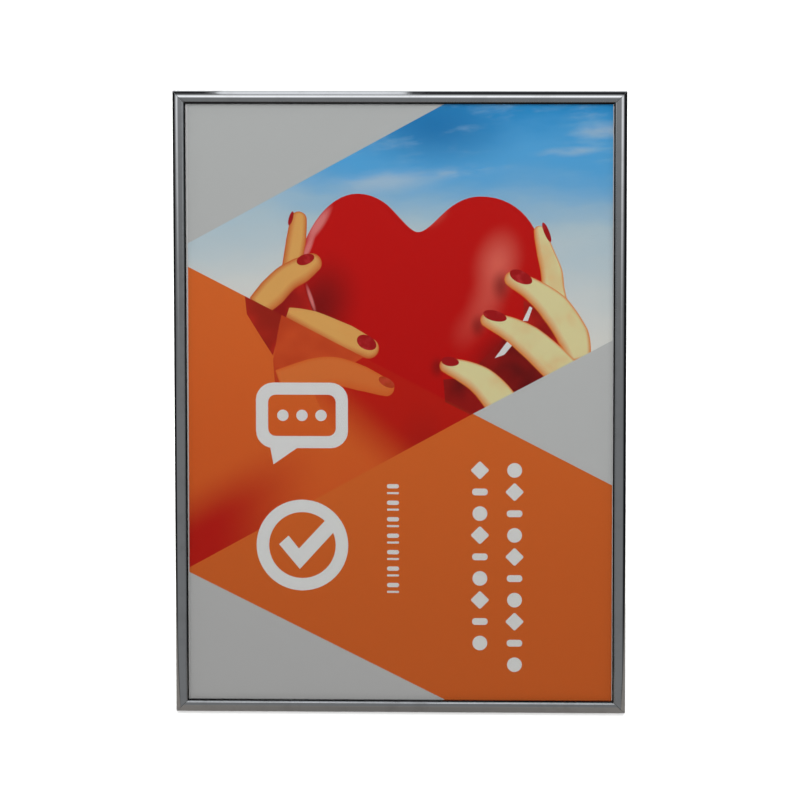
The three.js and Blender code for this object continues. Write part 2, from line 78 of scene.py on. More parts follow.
class Tree:
    """A small helper that adds nodes to a tree and links them as it goes."""

    def __init__(self, owner):
        owner.use_nodes = True
        self.tree = owner.node_tree
        self.tree.nodes.clear()

    def add(self, kind, inputs=(), **settings):
        node = self.tree.nodes.new(kind)
        for name, value in settings.items():
            setattr(node, name, value)
        for key, value in dict(inputs).items():
            self.put(node.inputs[key], value)
        return node

    def put(self, socket, value):
        if isinstance(value, bpy.types.NodeSocket):
            self.tree.links.new(value, socket)
        else:
            socket.default_value = value

    def maths(self, operation, *values, clamp=False):
        node = self.add("ShaderNodeMath", operation=operation, use_clamp=clamp)
        for socket, value in zip(node.inputs, values):
            self.put(socket, value)
        return node.outputs[0]

    def vector(self, operation, *values):
        node = self.add("ShaderNodeVectorMath", operation=operation)
        for socket, value in zip(node.inputs, values):
            self.put(socket, value)
        return node.outputs["Value" if operation in ("LENGTH", "DOT_PRODUCT") else "Vector"]

    def mix(self, factor, a, b):
        node = self.add("ShaderNodeMix", data_type="RGBA")
        self.put(node.inputs["Factor"], factor)
        self.put(node.inputs[6], a)
        self.put(node.inputs[7], b)
        return node.outputs[2]

    def noise(self, vector, scale, detail=3.0, roughness=0.55):
        inputs = {"Vector": vector, "Scale": scale, "Detail": detail, "Roughness": roughness}
        return self.add("ShaderNodeTexNoise", inputs).outputs["Fac"]

    def smooth(self, value, low, high, to_low=0.0, to_high=1.0):
        inputs = {"Value": value, "From Min": low, "From Max": high, "To Min": to_low, "To Max": to_high}
        node = self.add("ShaderNodeMapRange", inputs, interpolation_type="SMOOTHSTEP")
        return node.outputs["Result"]

    def place(self, vector, location=(0, 0, 0), turn=0.0, scale=(1, 1, 1)):
        inputs = {"Vector": vector, "Location": location, "Rotation": (0, 0, turn), "Scale": scale}
        return self.add("ShaderNodeMapping", inputs, vector_type="TEXTURE").outputs[0]

    def bump(self, height, strength, distance):
        inputs = {"Height": height, "Strength": strength, "Distance": distance}
        return self.add("ShaderNodeBump", inputs).outputs[0]

    def finish(self, shader):
        self.add("ShaderNodeOutputMaterial", {"Surface": shader})


def linear(r, g, b):
    """A colour given as 0-255 display values, for a shader's socket."""
    channel = lambda c: c / 12.92 if c <= 0.04045 else ((c + 0.055) / 1.055) ** 2.4
    return (channel(r / 255), channel(g / 255), channel(b / 255), 1.0)


PAPER_LIGHT = 0.62  # the light that reaches the poster's top: what a pure white would show as


def ink(r, g, b):
    """A printed colour that shows as the given display values in the studio's light."""
    red, green, blue, _ = linear(r, g, b)
    return (min(red / PAPER_LIGHT, 1), min(green / PAPER_LIGHT, 1), min(blue / PAPER_LIGHT, 1), 1.0)


def material(name):
    mat = bpy.data.materials.new(name)
    return mat, Tree(mat)


def object_space(t):
    return t.add("ShaderNodeTexCoord").outputs["Object"]


# ---------------------------------------------------------------- metal, board and rubber


LIP_OVERLAP, PAINTED_SHADE_WIDTH = 5, 1.9  # millimetres: how far the frame covers the poster, and the width of the painted shade, a black band along the metal's inner edge for the shadowed gap under the lip


def mirror_metal(name, along, leaf):
    """Bright polished profile: draw lines, a faint ripple, smudges, and painted shade: a near black band
    along the metal's inner edge round the poster, standing in for the shadowed gap under the lip.
    """
    mat, t = material(name)
    where = object_space(t)
    stretch = tuple(0.02 if k == along else 1.0 for k in range(3))
    drawn = t.noise(t.vector("MULTIPLY", where, stretch), 2600, 2)
    ripple = t.noise(where, 9, 1)
    smudge = t.smooth(t.noise(where, 38, 5, 0.6), 0.45, 0.75)
    rough = t.maths("ADD", t.maths("MULTIPLY", smudge, 0.05), t.maths("MULTIPLY_ADD", drawn, 0.04, 0.045))
    bump = t.add(
        "ShaderNodeBump",
        {"Height": drawn, "Strength": 0.05, "Distance": 0.00005, "Normal": t.bump(ripple, 0.12, 0.002)},
    )
    tone = t.mix(smudge, (0.86, 0.87, 0.88, 1), (0.78, 0.785, 0.79, 1))
    corner, right, up, _ = PLANES[leaf]
    outside = []
    for direction, size in ((right, POSTER_WIDTH), (up, POSTER_HEIGHT)):
        from_middle = corner.dot(direction) + size / 2 * MM
        offset = t.maths("SUBTRACT", t.vector("DOT_PRODUCT", where, tuple(direction)), from_middle)
        outside.append(t.maths("SUBTRACT", t.maths("ABSOLUTE", offset), (size / 2 - LIP_OVERLAP) * MM))
    beyond = t.maths("MAXIMUM", *outside)
    # Painted shade: the metal turns near black in a band next to the poster, where the gap under the lip lies
    # in shadow
    painted_gap_shade = t.smooth(beyond, PAINTED_SHADE_WIDTH * MM, (PAINTED_SHADE_WIDTH - 0.2) * MM)
    tone = t.mix(painted_gap_shade, tone, (0.022, 0.022, 0.024, 1))
    inputs = {"Base Color": tone, "Metallic": 1.0, "Roughness": rough, "Normal": bump.outputs[0]}
    t.finish(t.add("ShaderNodeBsdfPrincipled", inputs).outputs[0])
    return mat


def satin_metal(name, tone, rough=0.34, along=None, grain=900):
    """Anodised, plated or plain metal: fine grain, cloudy plating and a few darker handling marks."""
    mat, t = material(name)
    where = object_space(t)
    stretch = tuple(0.03 if k == along else 1.0 for k in range(3))
    grained = t.noise(t.vector("MULTIPLY", where, stretch), grain, 2)
    cloud = t.noise(where, 55, 4)
    marks = t.smooth(t.noise(where, 210, 6, 0.7), 0.62, 0.74)
    light = tuple(min(1, c * 1.12) for c in tone) + (1,)
    dark = tuple(c * 0.84 for c in tone) + (1,)
    shade = t.mix(t.maths("MULTIPLY", marks, 0.35), t.mix(cloud, dark, light), (0.2, 0.2, 0.2, 1))
    roughness = t.maths("MULTIPLY_ADD", grained, 0.14, rough - 0.07)
    bump = t.bump(grained, 0.16, 0.00006)
    inputs = {"Base Color": shade, "Metallic": 1.0, "Roughness": roughness, "Normal": bump}
    t.finish(t.add("ShaderNodeBsdfPrincipled", inputs).outputs[0])
    return mat


def board_plastic():
    """Foamed plastic backing board: fine matt grain with faint rolled mottling and scuffs."""
    mat, t = material("backing_board")
    where = object_space(t)
    grain = t.noise(where, 1400, 3)
    mottle = t.noise(where, 14, 5)
    scuff = t.smooth(t.noise(t.vector("MULTIPLY", where, (1, 1, 0.12)), 160, 5, 0.7), 0.63, 0.72)
    tone = t.mix(mottle, (0.66, 0.665, 0.66, 1), (0.74, 0.74, 0.73, 1))
    tone = t.mix(t.maths("MULTIPLY", scuff, 0.3), tone, (0.45, 0.45, 0.45, 1))
    inputs = {"Base Color": tone, "Roughness": 0.62, "Normal": t.bump(grain, 0.25, 0.0001)}
    t.finish(t.add("ShaderNodeBsdfPrincipled", inputs).outputs[0])
    return mat


def foot_rubber():
    """Moulded rubber: dusty, pitted, and paler where it rubs."""
    mat, t = material("foot_rubber")
    where = object_space(t)
    pits = t.noise(where, 1100, 4)
    dust = t.smooth(t.noise(where, 90, 5), 0.5, 0.75)
    tone = t.mix(t.maths("MULTIPLY", dust, 0.5), (0.022, 0.022, 0.023, 1), (0.1, 0.097, 0.09, 1))
    inputs = {"Base Color": tone, "Roughness": 0.82, "Normal": t.bump(pits, 0.4, 0.0002)}
    t.finish(t.add("ShaderNodeBsdfPrincipled", inputs).outputs[0])
    return mat


def clear_sheet():
    """The thin clear sheet over the poster: see-through, with a weak, slightly frosted sheen."""
    mat, t = material("clear_sheet")
    where = object_space(t)
    haze = t.noise(where, 700, 2)
    shine = t.add(
        "ShaderNodeBsdfGlossy",
        {"Color": (1, 1, 1, 1), "Roughness": t.maths("MULTIPLY_ADD", haze, 0.1, 0.2)},
    )
    through = t.add("ShaderNodeBsdfTransparent", {"Color": (0.99, 0.99, 0.99, 1)})
    edge = t.add("ShaderNodeFresnel", {"IOR": 1.25})
    share = t.maths("MULTIPLY", edge.outputs[0], 0.45)
    mixed = t.add("ShaderNodeMixShader", {0: share, 1: through.outputs[0], 2: shine.outputs[0]})
    t.finish(mixed.outputs[0])
    return mat


# ---------------------------------------------------------------- the poster's artwork, in millimetres

# X runs from the poster's left edge and Y from its bottom edge.
FULL = [(0, 0), (POSTER_WIDTH, 0), (POSTER_WIDTH, POSTER_HEIGHT), (0, POSTER_HEIGHT)]
CORNER_LEFT, CORNER_TOP = (0, 531), (311, 700)  # the edge of the grey corner at the top left
FALL_LEFT, FALL_RIGHT = (0, 511), (500, 253)  # the line that falls across the sheet
RISE_LEFT, RISE_RIGHT = (0, 155), (500, 427)  # the line that rises across it
FOOT_LEFT, FOOT_END = (0, 156), (311, 0)  # the edge of the grey corner at the bottom left
CROSSING = (334, 338.5)
SIDE_MARGINS = (
    [(0, 0), (5.7, 0), (7, 700), (0, 700)],
    [(494.3, 0), (500, 0), (500, 700), (493.9, 700)],
)


def arc(centre, radius, start, end, steps):
    return [
        (
            centre[0] + radius * math.cos(math.radians(start + (end - start) * i / steps)),
            centre[1] + radius * math.sin(math.radians(start + (end - start) * i / steps)),
        )
        for i in range(steps + 1)
    ]


def disc(x, y, radius, steps=28):
    return arc((x, y), radius, 0, 360, steps)[:-1]


def bezier(points, steps=14):
    """A closed outline of cubic stretches: each row is two handles and the next point."""
    outline = []
    last = points[-1][2]
    for a, b, end in points:
        for i in range(steps):
            t = i / steps
            s = 1 - t
            pulls = ((s**3, last), (3 * s * s * t, a), (3 * s * t * t, b), (t**3, end))
            outline.append(tuple(sum(pull * p[k] for pull, p in pulls) for k in (0, 1)))
        last = end
    return outline


def rounded(x, y, width, height, radius, steps=6):
    """A rectangle with round corners, centred on (x, y)."""
    cx, cy = width / 2 - radius, height / 2 - radius
    corners = ((cx, cy, 0), (-cx, cy, 90), (-cx, -cy, 180), (cx, -cy, 270))
    return [p for a, b, start in corners for p in arc((x + a, y + b), radius, start, start + 90, steps)]


def turned(points, centre, angle):
    c, s = math.cos(math.radians(angle)), math.sin(math.radians(angle))
    offsets = [(x - centre[0], y - centre[1]) for x, y in points]
    return [(centre[0] + c * dx - s * dy, centre[1] + s * dx + c * dy) for dx, dy in offsets]


def finger(line, widths, inset=0.0, steps=10):
    """A round-ended outline about a bent centre line, drawn in by inset all round."""
    spine = [Vector(p) for p in line]
    curve, radii = [], []
    for i in range(len(spine) - 1):
        before = spine[max(i - 1, 0)]
        after = spine[min(i + 2, len(spine) - 1)]
        for j in range(steps):
            t = j / steps
            a = 2 * spine[i]
            b = spine[i + 1] - before
            c = 2 * before - 5 * spine[i] + 4 * spine[i + 1] - after
            d = 3 * spine[i] - before - 3 * spine[i + 1] + after
            curve.append(0.5 * (a + b * t + c * t * t + d * t**3))
            radii.append(widths[i] + (widths[i + 1] - widths[i]) * t)
    curve.append(spine[-1])
    radii.append(widths[-1])
    radii = [max(r / 2 - inset, 0.4) for r in radii]
    left, right = [], []
    for i, point in enumerate(curve):
        along = (curve[min(i + 1, len(curve) - 1)] - curve[max(i - 1, 0)]).normalized()
        across = Vector((-along.y, along.x))
        left.append(point + across * radii[i])
        right.append(point - across * radii[i])
    along = (curve[-1] - curve[-2]).normalized()
    heading = math.degrees(math.atan2(along.y, along.x))
    tip = arc(tuple(curve[-1]), radii[-1], heading + 90, heading - 90, 12)[1:-1]
    return [tuple(p) for p in left] + tip + [tuple(p) for p in reversed(right)]


HEART = bezier(
    [
        ((262, 548), (250, 566), (236, 579)),
        ((226, 587), (215, 592), (201, 592)),
        ((172, 592), (140, 556), (132, 503)),
        ((131, 425), (135, 345), (215, 268)),
        ((362, 322), (418, 420), (416, 500)),
        ((416, 556), (384, 590), (342, 589)),
        ((328, 589), (316, 583), (305, 574)),
        ((292, 563), (281, 548), (271, 548)),
    ]
)

# Each finger: its centre line from the hand to the tip, the widths there, and its nail as the middle,
# half length, half width and angle.
FINGERS = [
    {
        "line": [(125, 503), (131, 538), (134, 562)],
        "widths": [22, 23, 19],
        "nail": (125, 563, 9, 2.4, 74),
    },
    {
        "line": [(87, 462), (103, 478), (119, 494), (136, 504), (149, 512)],
        "widths": [27, 33, 31, 30, 23],
        "nail": (141, 516, 11.5, 6, 20),
    },
    {
        "line": [(121, 455), (150, 445), (188, 427), (214, 414)],
        "widths": [12, 24, 29, 24],
        "nail": (211, 421, 13, 8, -28),
    },
    {
        "line": [(112, 372), (150, 384), (176, 387), (206, 379), (234, 368)],
        "widths": [34, 36, 33, 29, 19],
        "nail": (234, 375, 11, 5, -30),
    },
    {
        "line": [(430, 460), (426, 482), (424, 502), (417, 525), (410, 549)],
        "widths": [28, 26, 25, 20, 13],
        "nail": (418, 549, 13, 3, -68),
    },
    {
        "line": [(456, 402), (449, 428), (428, 460), (402, 482), (379, 494)],
        "widths": [26, 37, 36, 26, 18],
        "nail": (388, 497, 15, 7, -25),
    },
    {
        "line": [(446, 378), (420, 404), (397, 424), (374, 438), (351, 447)],
        "widths": [40, 38, 35, 27, 17],
        "nail": (358, 452, 15, 6, -14),
    },
    {
        "line": [(380, 334), (360, 360), (343, 377), (322, 388), (304, 394)],
        "widths": [38, 37, 33, 26, 17],
        "nail": (307, 399, 11, 5.4, -8),
    },
]
SHADE_BANDS = 7  # each finger is this many outlines, one inside the other, from its rim's tone to its light
SHADE_REACH = 0.66  # how far in the last of them is set, as a share of the finger's least half width
BAND_RISE = 0.55  # how far each lighter band is set up and to the right of the last, in millimetres

# Shaded palms behind the fingers, and two gaps between them that show the pale sky.
PALMS = [
    (
        [(98, 462), (110, 475), (125, 484), (139, 489), (150, 456), (134, 454), (122, 448), (100, 459)],
        "palm_red",
    ),
    (
        [(302, 352), (300, 378), (324, 380), (372, 428), (420, 392), (426, 374), (381, 355), (334, 336)],
        "palm_dark",
    ),
    ([(392, 470), (414, 462), (452, 408), (424, 400), (392, 440)], "palm_red"),
    ([(399, 463), (402, 461), (397, 446), (391, 446)], "white"),
    ([(373, 422), (379, 418), (370, 407), (359, 403)], "white"),
]
# The palm in front of the left hand's first three fingers, which end at the veil's upper edge.
FRONT_PALMS = [
    ([(72, 473.8), (114, 452.2), (111, 439), (108, 421), (104, 405), (90, 427), (74, 453)], "palm_red"),
    (
        [
            (114, 452.2),
            (208, 403.7),
            (196, 396),
            (176, 400),
            (156, 398),
            (130, 372),
            (106, 372),
            (104, 400),
            (110, 434),
        ],
        "palm",
    ),
]
FINGERS_BEHIND = 3  # how many fingers the front palm covers


NAIL_ROOT = 0.85  # a nail's root is this much of the length of its tip, from its middle


def nail(shape):
    """An almond nail near a finger's tip."""
    x, y, reach, half_width, angle = shape["nail"]
    outline = [
        (x + reach * math.cos(a) * (1 if math.cos(a) > 0 else NAIL_ROOT), y + half_width * math.sin(a))
        for a in (math.radians(10 * k) for k in range(36))
    ]
    return turned(outline, (x, y), angle)


ICON_X = 137  # the two large icons stand one over the other
BUBBLE_Y, RING_Y = 336, 185
DOT_RADIUS, DOT_STEP = 6.6, 22
RING_OUTER, RING_INNER = 53, 38.5
MARK_TOP, MARK_STEP = 273, 25.2  # the first row of the small marks, and the drop from each to the next
MARK_COLUMNS = ((0, 382, 10), (1, 342, 9))  # where each starts in the run of shapes, its X and its count
BAR_X, BAR_STEP, BAR_PAIRS = 241.7, 19.2, 7
BARS = ((254, 5, 2.4, 4), (246, 2.4, 1.1, 3))  # a wide and a narrow bar: the first one's Y, height, rounding


def bubble():
    """A speech bubble with a tail, and the three dots in it."""
    body = rounded(ICON_X, BUBBLE_Y, 106, 76, 20)
    tail = [(100, 300), (104, 279), (134, 300)]
    hollow = rounded(ICON_X, BUBBLE_Y, 78, 48, 9)
    dots = [disc(ICON_X + k * DOT_STEP, BUBBLE_Y, DOT_RADIUS) for k in (-1, 0, 1)]
    return [body, tail], [hollow], dots


def tick_ring():
    """A ring with a tick across it."""
    ring = disc(ICON_X, RING_Y, RING_OUTER, 56)
    hollow = disc(ICON_X, RING_Y, RING_INNER, 48)
    tick = [(110, 186), (121, 196), (133, 181), (171, 222), (183, 211), (134, 157)]
    return [ring], [hollow], [tick]


def marks():
    """Small shapes that stand where fine print would be: two columns and one row of bars."""
    shapes = []
    for first, x, count in MARK_COLUMNS:
        for k in range(count):
            y = MARK_TOP - MARK_STEP * k
            if (k + first) % 3 == 0:
                shapes.append(disc(x, y, 8.6, 20))
            elif (k + first) % 3 == 1:
                shapes.append(turned(rounded(x, y, 15.5, 15.5, 2), (x, y), 45))
            else:
                shapes.append(rounded(x, y, 18, 8, 3.6, 4))
    for k in range(BAR_PAIRS):
        for y, height, radius, steps in BARS:
            shapes.append(rounded(BAR_X, y - BAR_STEP * k, 14, height, radius, steps))
    return shapes


def artwork_layers():
    """Outlines in painting order, each with the name of its ink."""
    layers = [(FULL, "sky"), (HEART, "heart")] + PALMS
    for number, shape in enumerate(FINGERS):
        if number == FINGERS_BEHIND:
            layers += FRONT_PALMS
        for band in range(SHADE_BANDS):
            inset = SHADE_REACH * band * min(shape["widths"]) / 2 / (SHADE_BANDS - 1)
            rise = BAND_RISE * band
            line = [(x + 0.4 * rise, y + rise) for x, y in shape["line"]]
            layers.append((finger(line, shape["widths"], inset), f"skin_{band}"))
        layers.append((nail(shape), "nail"))
    layers.append(([CORNER_LEFT, CORNER_TOP, (0, 700)], "grey"))
    layers.append(([FALL_LEFT, CROSSING, RISE_LEFT], "veil"))
    layers.append(([CROSSING, FALL_RIGHT, RISE_RIGHT], "grey_side"))
    layers.append(([RISE_LEFT, CROSSING, FALL_RIGHT, (500, 0), (0, 0)], "orange"))
    layers.append(([FOOT_LEFT, FOOT_END, (0, 0)], "grey"))
    layers += [(outline, "white") for outline in SIDE_MARGINS]
    for solid, hollow, inner in (bubble(), tick_ring()):
        layers += [(outline, "white") for outline in solid]
        layers += [(outline, "under") for outline in hollow]
        layers += [(outline, "white") for outline in inner]
    return layers + [(outline, "white") for outline in marks()]


def inside(point, outline):
    x, y = point
    hit = False
    for (ax, ay), (bx, by) in zip(outline, outline[1:] + outline[:1]):
        if (ay > y) != (by > y) and x < (bx - ax) * (y - ay) / (by - ay) + ax:
            hit = not hit
    return hit


def ink_at(point, layers):
    """The ink that shows at a point: the last layer there, with "veil" tinting what is below it."""
    shown, below, veiled = "sky", "sky", False
    for outline, name, low, high in layers:
        if not (low[0] <= point[0] <= high[0] and low[1] <= point[1] <= high[1]):
            continue
        if not inside(point, outline):
            continue
        if name == "veil":
            veiled = True
        elif name == "under":
            shown = below
        elif name == "white":
            below = shown if shown != "white" else below
            shown = "white"
        else:
            shown, veiled = name, False
    return f"veiled_{shown}" if veiled and shown != "white" else shown


def merged_corners(outlines):
    """All outlines as one list of points and edges, for the triangulation."""
    points, edges = [], []
    for outline in outlines:
        start = len(points)
        points += [Vector(p) for p in outline]
        edges += [(start + i, start + (i + 1) % len(outline)) for i in range(len(outline))]
    return points, edges


def clipped(outline):
    """An outline kept within the sheet."""
    result = outline
    for axis, limit, sign in ((0, 0, 1), (0, POSTER_WIDTH, -1), (1, 0, 1), (1, POSTER_HEIGHT, -1)):
        source, result = result, []
        for a, b in zip(source, source[1:] + source[:1]):
            da, db = sign * (a[axis] - limit), sign * (b[axis] - limit)
            if da >= 0:
                result.append(a)
            if (da >= 0) != (db >= 0):
                t = da / (da - db)
                result.append(tuple(a[k] + (b[k] - a[k]) * t for k in (0, 1)))
    return result


SHEET_THICKNESS = 0.4


def poster(leaf, inks):
    """One closed sheet whose printed face is cut along the artwork's outlines, with an ink for each face."""
    layers = [(clipped(outline), name) for outline, name in artwork_layers()]
    bounded = []
    for outline, name in layers:
        xs, ys = zip(*outline)
        bounded.append((outline, name, (min(xs), min(ys)), (max(xs), max(ys))))
    points, edges = merged_corners([outline for outline, _ in layers])
    flat, _, faces, _, _, _ = delaunay_2d_cdt(points, edges, [], 0, 0.01)
    corner, right, up, out = PLANES[leaf]
    mesh = bpy.data.meshes.new(f"{leaf}_poster_print")
    bm = bmesh.new()
    place = lambda p, depth: corner + right * (p.x * MM) + up * (p.y * MM) - out * (depth * MM)
    front = [bm.verts.new(place(p, 0)) for p in flat]
    back = [bm.verts.new(place(p, SHEET_THICKNESS)) for p in flat]
    bm.verts.index_update()
    at = dict(zip(front + back, flat + flat))
    names = sorted(inks)
    layer = bm.loops.layers.uv.new("sheet")
    for face in faces:
        middle = sum((flat[i] for i in face), Vector((0, 0))) / len(face)
        name = ink_at(middle, bounded)
        printed = bm.faces.new([front[i] for i in face])
        printed.material_index = names.index(name)
        blank = bm.faces.new([back[i] for i in reversed(face)])
        blank.material_index = names.index("white")
    printed_side = set(front)
    rim = [e for e in bm.edges if len(e.link_faces) == 1 and printed_side.issuperset(e.verts)]
    partner = dict(zip(front, back))
    for edge in rim:
        loop = edge.link_loops[0]
        a, b = loop.vert, loop.link_loop_next.vert
        side = bm.faces.new([b, a, partner[a], partner[b]])
        side.material_index = names.index("white")
    for face in bm.faces:
        for loop in face.loops:
            p = at[loop.vert]
            loop[layer].uv = (p.x / 1000, p.y / 1000)
    bm.to_mesh(mesh)
    bm.free()
    for name in names:
        mesh.materials.append(inks[name])
    piece = bpy.data.objects.new(f"{leaf}_poster_print", mesh)
    scene.collection.objects.link(piece)
    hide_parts(f"{leaf}_poster")
    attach(piece, f"{leaf}_leaf")
    return piece


# ---------------------------------------------------------------- inks


def sheet_space(t):
    """Metres from the poster's lower left corner."""
    return t.add("ShaderNodeUVMap", uv_map="sheet").outputs[0]


def spot(t, where, x, y, reach_x, reach_y, turn=0.0, core=0.0):
    """1 at a place on the sheet, falling smoothly to 0 at the given reach in millimetres."""
    local = t.place(where, (x / 1000, y / 1000, 0), math.radians(turn), (reach_x / 1000, reach_y / 1000, 1))
    return t.smooth(t.vector("LENGTH", local), core, 1.0, 1.0, 0.0)


def printed(t, colour):
    """Satin coated paper: the ink, a fine print grain and a slight tooth."""
    where = sheet_space(t)
    grain = t.noise(where, 1800, 2)
    level = t.maths("MULTIPLY_ADD", grain, 0.06, 0.97)
    levels = t.add("ShaderNodeCombineXYZ", {0: level, 1: level, 2: level}).outputs[0]
    toned = t.vector("MULTIPLY", colour, levels)
    tooth = t.bump(grain, 0.06, 0.00005)
    inputs = {"Base Color": toned, "Roughness": 0.5, "Specular IOR Level": 0.06, "Normal": tooth}
    t.finish(t.add("ShaderNodeBsdfPrincipled", inputs).outputs[0])


def sheet_height(t, where):
    return t.add("ShaderNodeSeparateXYZ", {"Vector": where}).outputs["Y"]


def faded(t, where, top, bottom):
    """An ink that changes slowly from the sheet's top to its bottom."""
    return t.mix(t.smooth(sheet_height(t, where), 0.0, 0.7), bottom, top)


def plain_ink(name, top, bottom):
    mat, t = material(name)
    printed(t, faded(t, sheet_space(t), ink(*top), ink(*bottom)))
    return mat


# Spots on the sheet in millimetres: X, Y, the reach across and up, then the turn and the strength.
CLOUDS = ((482, 664, 46, 12), (232, 606, 90, 18), (330, 618, 80, 12), (440, 640, 50, 8))
HEART_GLOW = (
    (362, 512, 34, 52, -14, 0.9),
    (350, 470, 28, 44, -20, 0.5),
    (292, 566, 12, 26, -48, 0.35),
    (330, 440, 24, 40, -30, 0.25),
)
FINGERTIP_SHADE = ((366, 486, 15, 24), (340, 440, 12, 18), (293, 392, 11, 16))
HEART_STREAKS = ((157, 557, 8, 31, -34, 0.9), (145, 530, 5, 24, -22, 0.85), (148, 471, 3, 21, 18, 0.9))


def sky_colour(t, where):
    height = sheet_height(t, where)
    across = t.add("ShaderNodeSeparateXYZ", {"Vector": where}).outputs["X"]
    soft = t.place(where, (0, 0, 0), 0.0, (2.6, 1, 1))
    drift = t.maths("MULTIPLY", t.maths("SUBTRACT", t.noise(soft, 9, 5, 0.6), 0.5), 0.12)
    level = t.maths("ADD", height, drift)
    slope = t.maths("ADD", level, t.maths("MULTIPLY", across, 0.06))
    colour = t.mix(t.smooth(slope, 0.44, 0.62), ink(204, 204, 199), ink(158, 184, 197))
    colour = t.mix(t.smooth(slope, 0.56, 0.66), colour, ink(80, 158, 206))
    colour = t.mix(t.smooth(slope, 0.655, 0.72), colour, ink(32, 134, 192))
    deep = spot(t, where, 290, 668, 120, 60)
    colour = t.mix(t.maths("MULTIPLY", deep, 0.8), colour, ink(18, 108, 166))
    wisps = t.noise(t.place(where, (0, 0, 0), 0.1, (3.2, 1, 1)), 26, 7, 0.62)
    bands = t.smooth(wisps, 0.5, 0.72)
    high = t.smooth(height, 0.56, 0.66)
    colour = t.mix(t.maths("MULTIPLY", t.maths("MULTIPLY", bands, high), 0.45), colour, ink(150, 186, 208))
    for x, y, rx, ry in CLOUDS:
        patch = t.maths("MULTIPLY", spot(t, where, x, y, rx, ry, 4), t.smooth(wisps, 0.36, 0.6))
        colour = t.mix(t.maths("MULTIPLY", patch, 0.65), colour, ink(172, 188, 200))
    return colour


def heart_colour(t, where):
    colour = faded(t, where, ink(184, 8, 4), ink(163, 3, 2))
    shade = spot(t, where, 158, 462, 52, 74, -20)
    colour = t.mix(t.maths("MULTIPLY", shade, 0.75), colour, ink(96, 8, 8))
    under = spot(t, where, 372, 402, 60, 44, 40)
    colour = t.mix(t.maths("MULTIPLY", under, 0.8), colour, ink(90, 6, 6))
    rim = spot(t, where, 276, 300, 40, 60)
    colour = t.mix(t.maths("MULTIPLY", rim, 0.3), colour, ink(130, 10, 10))
    for x, y, rx, ry, turn, power in HEART_GLOW:
        glow = t.maths("MULTIPLY", spot(t, where, x, y, rx, ry, turn), power)
        colour = t.mix(glow, colour, ink(244, 98, 84))
    for x, y, rx, ry in FINGERTIP_SHADE:
        colour = t.mix(t.maths("MULTIPLY", spot(t, where, x, y, rx, ry), 0.6), colour, ink(104, 8, 6))
    for x, y, rx, ry, turn, power in HEART_STREAKS:
        streak = t.maths("MULTIPLY", spot(t, where, x, y, rx, ry, turn, 0.25), power)
        colour = t.mix(streak, colour, ink(226, 120, 118))
    return colour


def skin_colour(t, where, band):
    """Golden on the left and paler on the right, with a redder rim."""
    share = (band / (SHADE_BANDS - 1)) ** 0.8
    across = t.add("ShaderNodeSeparateXYZ", {"Vector": where}).outputs["X"]
    blend = lambda a, b: tuple(a[k] + (b[k] - a[k]) * share for k in range(4))
    golden = blend(ink(186, 88, 40), ink(211, 158, 88))
    pale = blend(ink(204, 116, 52), ink(222, 198, 150))
    base = t.mix(t.smooth(across, 0.24, 0.32), golden, pale)
    warm = t.noise(where, 22, 3)
    return t.mix(t.smooth(warm, 0.45, 0.8, 0.0, 0.5), base, ink(210, 142, 74))


def palm_colour(t, where, deep, bright):
    return t.mix(t.smooth(t.noise(where, 16, 2), 0.35, 0.65), ink(*deep), ink(*bright))


def nail_colour(t, where):
    sheen = t.smooth(t.noise(where, 60, 2), 0.5, 0.7)
    return t.mix(t.maths("MULTIPLY", sheen, 0.35), ink(152, 14, 18), ink(206, 60, 66))


def veil_over(t, where, colour, cover):
    """The see-through orange triangle: it hides part of the picture, and reddens low on the left."""
    orange = faded(t, where, ink(206, 104, 40), ink(190, 78, 28))
    if cover is None:  # clear near the hands, hiding the picture towards the lower left
        cover = t.smooth(t.vector("DOT_PRODUCT", where, (0.67, 0.742, 0)), 0.345, 0.41, 1.0, 0.05)
    tinted = t.mix(cover, colour, orange)
    along = t.vector("DOT_PRODUCT", where, (0.48, -0.877, 0))
    red = t.smooth(along, -0.225, -0.165)
    near = t.smooth(t.add("ShaderNodeSeparateXYZ", {"Vector": where}).outputs["X"], 0.03, 0.17, 1.0, 0.0)
    return t.mix(t.maths("MULTIPLY", red, near), tinted, ink(170, 20, 10))


def picture_inks():
    """An ink for each part of the picture, plain and under the orange veil."""
    makers = {"sky": (sky_colour, 1.0), "heart": (heart_colour, None), "nail": (nail_colour, 0.35)}
    for band in range(SHADE_BANDS):
        makers[f"skin_{band}"] = (lambda t, where, band=band: skin_colour(t, where, band), 0.84)
    palms = {
        "palm": ((170, 40, 18), (190, 66, 30), 0.25),
        "palm_red": ((140, 16, 12), (176, 28, 18), 0.06),
        "palm_dark": ((92, 8, 8), (140, 14, 10), 0.06),
    }
    for name, (deep, bright, cover) in palms.items():
        makers[name] = (lambda t, where, a=deep, b=bright: palm_colour(t, where, a, b), cover)
    inks = {}
    for name, (colour, cover) in makers.items():
        mat, t = material(f"print_{name}")
        printed(t, colour(t, sheet_space(t)))
        inks[name] = mat
        mat, t = material(f"print_veiled_{name}")
        where = sheet_space(t)
        printed(t, veil_over(t, where, colour(t, where), cover))
        inks[f"veiled_{name}"] = mat
    inks["grey"] = plain_ink("print_grey", (175, 177, 176), (171, 171, 170))
    inks["grey_side"] = plain_ink("print_grey_side", (178, 180, 179), (176, 177, 176))
    inks["veiled_grey_side"] = inks["grey_side"]
    inks["veiled_grey"] = inks["grey"]
    inks["orange"] = plain_ink("print_orange", (207, 103, 38), (188, 90, 34))
    inks["veiled_orange"] = inks["orange"]
    inks["white"] = plain_ink("print_white", (207, 209, 207), (203, 204, 202))
    return inks


# ---------------------------------------------------------------- studio


def aim(obj, target):
    obj.rotation_euler = (Vector(target) - obj.location).to_track_quat("-Z", "Y").to_euler()


